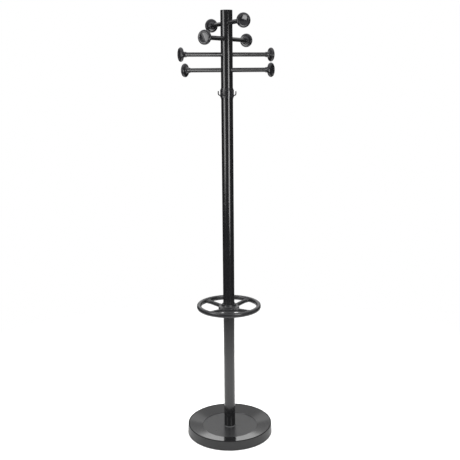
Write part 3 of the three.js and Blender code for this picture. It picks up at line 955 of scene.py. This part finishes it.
def hub_section():
    """Cage of the hub's section, from the flange's upper edge, down and round."""
    low, shelf, high = HUB_BOTTOM, HUB_SHELF, HUB_TOP
    bore = POST_R + GAP
    web_low, web_high = RING_Z - HUB_WEB, RING_Z + HUB_WEB
    return [
        (HUB_R, SPOKE_HUB_Z + 7.8), (HUB_R, SPOKE_HUB_Z), (HUB_R, SPOKE_HUB_Z - 7),
        (HUB_R - 1.6, low + 0.3), (HUB_R - 7, low), (bore, low), (bore, web_low),
        (STUD_BORE_R, web_low), (STUD_BORE_R, web_high), (bore, web_high), (bore, high),
        (HUB_BOSS_R - 0.8, high), (HUB_BOSS_R, high - 0.8), (HUB_BOSS_R, high - 4),
        (HUB_BOSS_R + 1.2, shelf + 2.4), (HUB_BOSS_R + 5, shelf + 0.2),
        (HUB_R - 5, shelf), (HUB_R - 1.2, shelf - 0.6),
    ]


def add_ring_grid(bm, section, count, start):
    """Rows of vertices round the axis, one row for each point of the section. They lie
    outside the section by as much as subdivision draws a circle of them in."""
    spread = 3 / (2 + math.cos(2 * math.pi / count))
    grid = []
    for radius, height in section:
        row = []
        for step in range(count):
            spot = polar(radius * spread, start + 2 * math.pi * step / count, height)
            row.append(bm.verts.new(spot * MM))
        grid.append(row)
    return grid


def skin_grid(bm, grid, open_cells):
    """Faces between the rows, leaving out the cells where the spokes join."""
    count = len(grid[0])
    for row in range(len(grid)):
        below = (row + 1) % len(grid)
        for step in range(count):
            after = (step + 1) % count
            if (row, step) in open_cells:
                continue
            bm.faces.new([grid[row][step], grid[row][after],
                          grid[below][after], grid[below][step]])


def open_loop(grid, step):
    """The eight vertices round a hole two cells wide and two high, about one step."""
    count = len(grid[0])
    left = (step - 1) % count
    right = (step + 1) % count
    return [grid[0][left], grid[0][step], grid[0][right], grid[1][right],
            grid[2][right], grid[2][step], grid[2][left], grid[1][left]]


def spoke_loop(bm, angle, distance, width, height, middle):
    """Eight vertices round the section of a spoke, in the order of open_loop."""
    half_w, half_h = width / 2, height / 2
    edge = 0.93               # how far out the corners lie, of the full half size
    shape = [(-edge, edge), (0, 1), (edge, edge), (1, 0),
             (edge, -edge), (0, -1), (-edge, -edge), (-1, 0)]
    turn = Matrix.Rotation(angle, 4, "Z")
    loop = []
    for across, up in shape:
        spot = Vector((distance, across * half_w, middle + up * half_h))
        loop.append(bm.verts.new(turn @ (spot * MM)))
    return loop


def spoke_stations():
    """Distance and width of each section along a spoke, which flares at both ends."""
    return [(51, 19.5), (57, 16.2), (66, SPOKE_WIDTH), (88, SPOKE_WIDTH),
            (104, SPOKE_WIDTH), (112, 17.5), (118.5, 24)]


def make_umbrella_ring(material):
    """Rim, hub and spokes as one cage, subdivided so that they blend into each other."""
    bm = bmesh.new()
    rim = add_ring_grid(bm, rim_section(), RIM_COUNT, SPOKE_ANGLE)
    hub = add_ring_grid(bm, hub_section(), HUB_COUNT, SPOKE_ANGLE)
    rim_open = set()
    hub_open = set()
    for spoke in range(SPOKE_COUNT):
        rim_step = spoke * RIM_COUNT // SPOKE_COUNT
        hub_step = spoke * HUB_COUNT // SPOKE_COUNT
        for row in (0, 1):
            rim_open |= {(row, rim_step), (row, (rim_step - 1) % RIM_COUNT)}
            hub_open |= {(row, hub_step), (row, (hub_step - 1) % HUB_COUNT)}
    skin_grid(bm, rim, rim_open)
    skin_grid(bm, hub, hub_open)
    for spoke in range(SPOKE_COUNT):
        angle = SPOKE_ANGLE + 2 * math.pi * spoke / SPOKE_COUNT
        loops = [open_loop(hub, spoke * HUB_COUNT // SPOKE_COUNT)]
        for distance, width in spoke_stations():
            middle = spoke_middle(distance)
            loops.append(spoke_loop(bm, angle, distance, width, SPOKE_HEIGHT, middle))
        loops.append(open_loop(rim, spoke * RIM_COUNT // SPOKE_COUNT))
        add_bridge(bm, loops, capped=False)
    crease = bm.edges.layers.float.new("crease_edge")
    for row in HUB_CREASES:
        for step in range(HUB_COUNT):
            edge = bm.edges.get((hub[row][step], hub[row][(step + 1) % HUB_COUNT]))
            edge[crease] = 1.0
    ring = finish_mesh("umbrella_ring_fine", bm, 180)
    smooth = ring.modifiers.new("smooth", "SUBSURF")
    smooth.levels = smooth.render_levels = 2
    applied(ring)
    return stands_for(ring, material, "ring_plastic", "umbrella_ring")


# -------------------------------------------------------------------------------- base

TRAY_LINE = ((186.9, 44.4), (TRAY_SLOPE_R, 31), (TRAY_SLOPE_R - 1.4, 29.2), (60, 28.2))
TRAY_CENTRE_Z = 27.8
TRAY_THICKNESS = 2.4


def lowered_tray(drop):
    """Corners of the tray's slope and floor, from the outside in, lowered by this much."""
    knee, foot, shelf = TRAY_LINE[1:]
    return [
        corner(knee[0], knee[1] - drop, 2),
        corner(foot[0], foot[1] - drop, 2),
        corner(shelf[0], shelf[1] - drop, 20),
    ]


def make_tray(material):
    """Shallow dish: a long slope and a small step down to a nearly level floor."""
    inner = POST_R + 2 * GAP
    edge, knee, foot, shelf = TRAY_LINE
    top = [
        corner(*edge, 0.5),
        corner(*knee, 0.8),
        corner(*foot, 0.6),
        corner(*shelf, 20),
        corner(inner, TRAY_CENTRE_Z, 0.5),
    ]
    bottom = [
        corner(inner, TRAY_CENTRE_Z - TRAY_THICKNESS, 0.3),
        *reversed(lowered_tray(TRAY_THICKNESS)),
        corner(edge[0], edge[1] - TRAY_THICKNESS, 0.3),
    ]
    tray = turned("drip_tray_fine", soft_outline(top + bottom), BASE_STEPS)
    return stands_for(tray, material, "tray_plastic", "drip_tray")


def make_cover(material):
    """Outer wall with a rolled rim, the deck under the tray and the boss in the middle."""
    low, high = span("base_cover")
    outer, top_outer, lip = 192, 190.6, 187.2
    boss_r, boss_z = 20, 13.8
    drop = TRAY_THICKNESS + GAP
    deck = drop + 2.5
    edge_r, edge_z = TRAY_LINE[0]
    outline = soft_outline([
        corner(outer - 3, low, 0.3),
        corner(outer, low, 0.8),
        corner(top_outer, high - 0.6, 0),
        corner(top_outer, high, 1.6),
        corner(lip, high, 1.3),
        corner(lip, edge_z - drop, 0.3),
        *lowered_tray(drop),
        corner(BOLT_HOLE_R, TRAY_CENTRE_Z - drop, 0.5),
        corner(BOLT_HOLE_R, boss_z, 0.5),
        corner(boss_r, boss_z, 0.8),
        corner(boss_r, TRAY_CENTRE_Z - deck, 1.5),
        *reversed(lowered_tray(deck)),
        corner(edge_r, edge_z - deck, 2),
    ])
    cover = turned("base_cover_fine", outline, BASE_STEPS)
    return stands_for(cover, material, "cover_plastic", "base_cover")


def make_foot_collar(material):
    """Low ring with a broad bevel, where the post meets the tray."""
    low, high = span("foot_collar")
    inner, outer, bevel = POST_R + GAP, 27.8, 2
    outline = soft_outline([
        corner(inner, low, 0.2),
        corner(outer, low, 0.4),
        corner(outer, high - bevel, 0.4),
        corner(outer - bevel, high, 0.4),
        corner(inner, high, 0.2),
    ])
    collar = turned("foot_collar_fine", outline)
    return stands_for(collar, material, "hook_plastic", "foot_collar")


def make_bottom_plate(material):
    """Pressed steel plate: raised middle for the bolt and a stiffening bead."""
    low, high = span("bottom_plate")
    sheet = 1.2
    raised = high - sheet
    outer, step_in, step_out = 186, 30, 38
    bead_in, bead_out, bead_side, bead = 120, 132, 3, 1.0

    def bead_corners(under):
        return [
            corner(bead_in, under, 2),
            corner(bead_in + bead_side, under + bead, 2),
            corner(bead_out - bead_side, under + bead, 2),
            corner(bead_out, under, 2),
        ]

    outline = soft_outline([
        corner(BOLT_HOLE_R, raised, 0.3),
        corner(step_in, raised, 3),
        corner(step_out, low, 3),
        *bead_corners(low),
        corner(outer, low, 0.4),
        corner(outer, low + sheet, 0.4),
        *reversed(bead_corners(low + sheet)),
        corner(step_out + 0.6, low + sheet, 3),
        corner(step_in + 0.6, high, 3),
        corner(BOLT_HOLE_R, high, 0.3),
    ])
    plate = turned("bottom_plate_fine", outline, BASE_STEPS)
    return stands_for(plate, material, "plate_paint", "bottom_plate")


def make_weight(material):
    """Cast ring whose sides lean, so that it leaves its mould."""
    low, high = span("base_weight")
    inner, outer, draft = 45, 150, 1
    outline = soft_outline([
        corner(inner + draft, low, 1.5),
        corner(outer - draft, low, 2.5),
        corner(outer, high, 3),
        corner(inner, high, 2.5),
    ])
    weight = turned("base_weight_fine", outline, BASE_STEPS)
    return stands_for(weight, material, "weight_iron", "base_weight")


def make_rubber_foot(index, material):
    """Round pad with a soft edge and a shallow cup underneath."""
    node = f"rubber_foot_{index}"
    low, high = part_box(node)
    centre = (low + high) / 2
    outer, height = 10, 4
    cup_r, cup_depth = 5, 0.5
    outline = soft_outline([
        corner(0, cup_depth),
        corner(cup_r, cup_depth, 0.5),
        corner(cup_r + 1, 0, 0.4),
        corner(outer - 0.4, 0, 1.0),
        corner(outer, height, 0.6),
        corner(0, height),
    ], closed=False)
    place = Matrix.Translation((centre.x, centre.y, 0))
    pad = turned(node + "_fine", outline, ROD_STEPS, place, closed=False)
    return stands_for(pad, material, "foot_rubber", node)


# --------------------------------------------------------------------- stage and camera

def camera_frame():
    """Unit vectors to the camera and to its right, on the floor."""
    azimuth = math.radians(CAMERA_AZIMUTH)
    towards = Vector((math.sin(azimuth), -math.cos(azimuth), 0))
    right = Vector((math.cos(azimuth), math.sin(azimuth), 0))
    return towards, right


def make_camera():
    towards, right = camera_frame()
    data = bpy.data.cameras.new("camera")
    data.lens = CAMERA_LENS
    data.sensor_width = CAMERA_SENSOR
    data.clip_end = CAMERA_FAR
    camera = bpy.data.objects.new("camera", data)
    bpy.context.scene.collection.objects.link(camera)
    camera.location = towards * CAMERA_DISTANCE + Vector((0, 0, CAMERA_HEIGHT))
    turn = Matrix.Rotation(math.radians(CAMERA_AZIMUTH - CAMERA_YAW), 4, "Z")
    tilt = Matrix.Rotation(math.radians(90 - CAMERA_PITCH), 4, "X")
    roll = Matrix.Rotation(math.radians(-CAMERA_ROLL), 4, "Z")
    camera.matrix_world = Matrix.Translation(camera.location) @ turn @ tilt @ roll
    bpy.context.scene.camera = camera


def add_area_light(name, shape, width, tall, brightness, location, target, lean=0.0):
    """An area light of this brightness, hidden from the camera itself. It leans to one
    side by some degrees, and is given back so that more can be set on it."""
    data = bpy.data.lights.new(name, "AREA")
    data.shape = shape
    data.size = width
    data.size_y = tall
    area = width * tall * (math.pi / 4 if shape == "DISK" else 1)
    data.energy = brightness * area * math.pi
    light = bpy.data.objects.new(name, data)
    bpy.context.scene.collection.objects.link(light)
    facing = (target - location).to_track_quat("-Z", "Y").to_matrix().to_4x4()
    tilt = Matrix.Rotation(math.radians(lean), 4, "Z")
    light.matrix_world = Matrix.Translation(location) @ facing @ tilt
    light.visible_camera = False
    return light


def make_softbox(name, start, end, distance, low, high, brightness, lean):
    """An upright light that covers these angles, seen from the post and counted from
    the camera to its right."""
    towards, right = camera_frame()
    middle = math.radians((start + end) / 2)
    width = 2 * distance * math.tan(math.radians((end - start) / 2))
    height = Vector((0, 0, (low + high) / 2))
    spot = (towards * math.cos(middle) + right * math.sin(middle)) * distance
    add_area_light(
        name, "RECTANGLE", width, high - low, brightness, spot + height, height, lean,
    )


def make_top_light():
    """A disc over the stand, kept out of mirror reflections."""
    light = add_area_light(
        "top_light", "DISK", TOP_LIGHT_SIZE, TOP_LIGHT_SIZE, TOP_LIGHT_BRIGHTNESS,
        Vector((0, 0, TOP_LIGHT_Z)), Vector((0, 0, 0)),
    )
    light.visible_glossy = False


def make_floor():
    """Pale round floor that fades out before its edge."""
    bm = bmesh.new()
    bmesh.ops.create_circle(bm, cap_ends=True, segments=128, radius=FLOOR_RADIUS)
    floor = finish_mesh("floor", bm)
    floor.data.materials.append(floor_paint())


def make_world():
    """White to the camera. To everything else it is a studio with a dark surround and a
    ceiling that is lightest overhead."""
    world = bpy.data.worlds.new("studio")
    bpy.context.scene.world = world
    world.use_nodes = True
    n = Nodes(world.node_tree)
    up = n.split(n.add("ShaderNodeTexCoord").outputs["Generated"])["Z"]

    def faded(start, end, brightness):
        """This brightness above the end elevation and none below the start."""
        low, high = math.sin(math.radians(start)), math.sin(math.radians(end))
        fade = n.ranged(up, low, high, 0.0, 1.0, interpolation_type="SMOOTHSTEP")
        return n.math("MULTIPLY", fade, brightness)

    overhead = n.math("ADD", faded(5, 12, CEILING), faded(30, 60, ZENITH))
    light = n.math("ADD", overhead, SURROUND)
    seen = n.add("ShaderNodeLightPath").outputs["Is Camera Ray"]
    background = n.tree.nodes["Background"]
    n.link(n.math("MAXIMUM", seen, light), background.inputs["Strength"])
    background.inputs["Color"].default_value = (1, 1, 1, 1)


# --------------------------------------------------------------------------- build it

make_camera()
make_world()
make_floor()
for softbox in SOFTBOXES:
    make_softbox(*softbox)
make_top_light()
bpy.context.scene.view_settings.view_transform = "Standard"

paint = gloss_paint()
gloss = gloss_plastic()
ring_plastic = satin_plastic(
    "ring_plastic", (0.0115, 0.0116, 0.0124), (0.016, 0.0162, 0.0174), 0.22, 0.29, 1300.0,
)
hook_plastic = satin_plastic(
    "hook_plastic", (0.014, 0.014, 0.015), (0.02, 0.02, 0.022), 0.3, 0.4, 1500.0,
)
foot_collar_plastic = satin_plastic(
    "foot_collar_plastic", (0.05, 0.0505, 0.052), (0.07, 0.0705, 0.073), 0.2, 0.28, 1500.0,
)
nylon = satin_plastic(
    "insert_nylon", (0.09, 0.09, 0.095), (0.13, 0.13, 0.135), 0.5, 0.65, 900.0,
)
plate_paint = satin_plastic(
    "plate_paint", (0.03, 0.0305, 0.032), (0.045, 0.0455, 0.047), 0.4, 0.55, 700.0,
)
zinc = zinc_steel()

for tube_node in ("foot_tube", "lower_tube", "upper_tube"):
    make_tube(tube_node, paint)
make_head_tube(paint)
make_cap(gloss)
for joint in ("ring_joint", "middle_joint", "collar_joint"):
    make_insert(joint + "_insert_lower", nylon)
    make_insert(joint + "_insert_upper", nylon)
    make_joint_stud(joint + "_stud", zinc)
for rod_index in range(1, 5):
    make_rod(rod_index, paint)
    for knob_letter in "ab":
        make_knob(rod_index, knob_letter, gloss)
        make_knob_stud(rod_index, knob_letter, zinc)
make_collar(gloss)
make_hooks(hook_plastic)
make_umbrella_ring(ring_plastic)
make_tray(tray_plastic())
make_cover(cover_plastic())
make_foot_collar(foot_collar_plastic)
make_bottom_plate(plate_paint)
make_weight(cast_iron())
make_insert("foot_insert", nylon)
make_washer(zinc)
make_base_bolt(zinc)
foot_rubber = rubber()
for foot_index in range(1, 7):
    make_rubber_foot(foot_index, foot_rubber)
